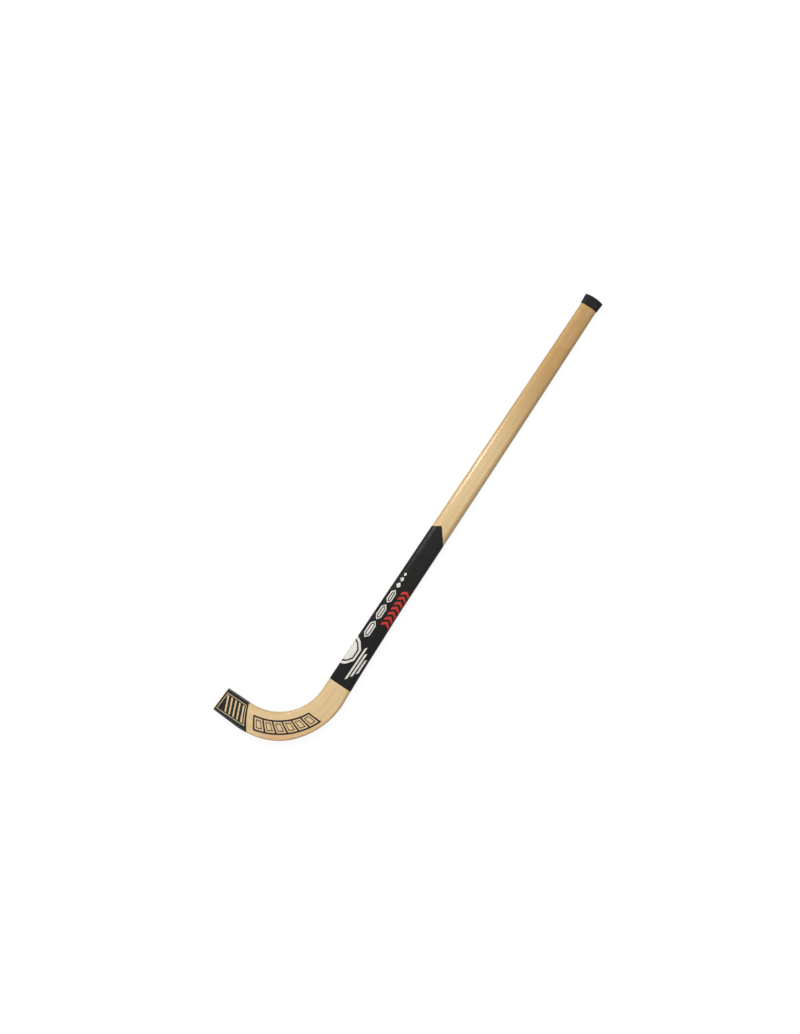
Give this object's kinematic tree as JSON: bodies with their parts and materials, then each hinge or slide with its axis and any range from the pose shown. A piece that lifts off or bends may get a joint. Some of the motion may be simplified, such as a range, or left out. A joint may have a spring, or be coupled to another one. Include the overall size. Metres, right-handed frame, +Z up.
{
  "type": "roller hockey stick",
  "caption": "Laminated wooden roller hockey stick with a curved hook, a printed film sleeve on the lower shaft, printed transfers on the hook and a rubber butt cap.",
  "frame": {"origin": "centre of the footprint on the surface that the stick lies on, broad face down", "axes": "+X along the shaft towards the butt; +Y the side that the hook curls towards; +Z up, square to the broad faces"},
  "size_m": [0.9628, 0.183, 0.0191],
  "materials": {
    "wood": "pale ash or beech under satin clear lacquer",
    "sleeve_film": "glossy black printed film",
    "hook_print": "black transfer ink under lacquer",
    "cap_rubber": "moulded black rubber"
  },
  "bodies": {
    "root": {"lamination_01": "wood", "lamination_02": "wood", "lamination_03": "wood", "lamination_04": "wood", "lamination_05": "wood", "lamination_06": "wood", "lamination_07": "wood", "lamination_08": "wood", "lamination_09": "wood", "lamination_10": "wood", "lamination_11": "wood", "shaft_sleeve": "sleeve_film", "toe_transfer_upper": "hook_print", "toe_transfer_lower": "hook_print", "bend_transfer_upper": "hook_print", "bend_transfer_lower": "hook_print", "end_cap": "cap_rubber"}
  },
  "joints": []
}
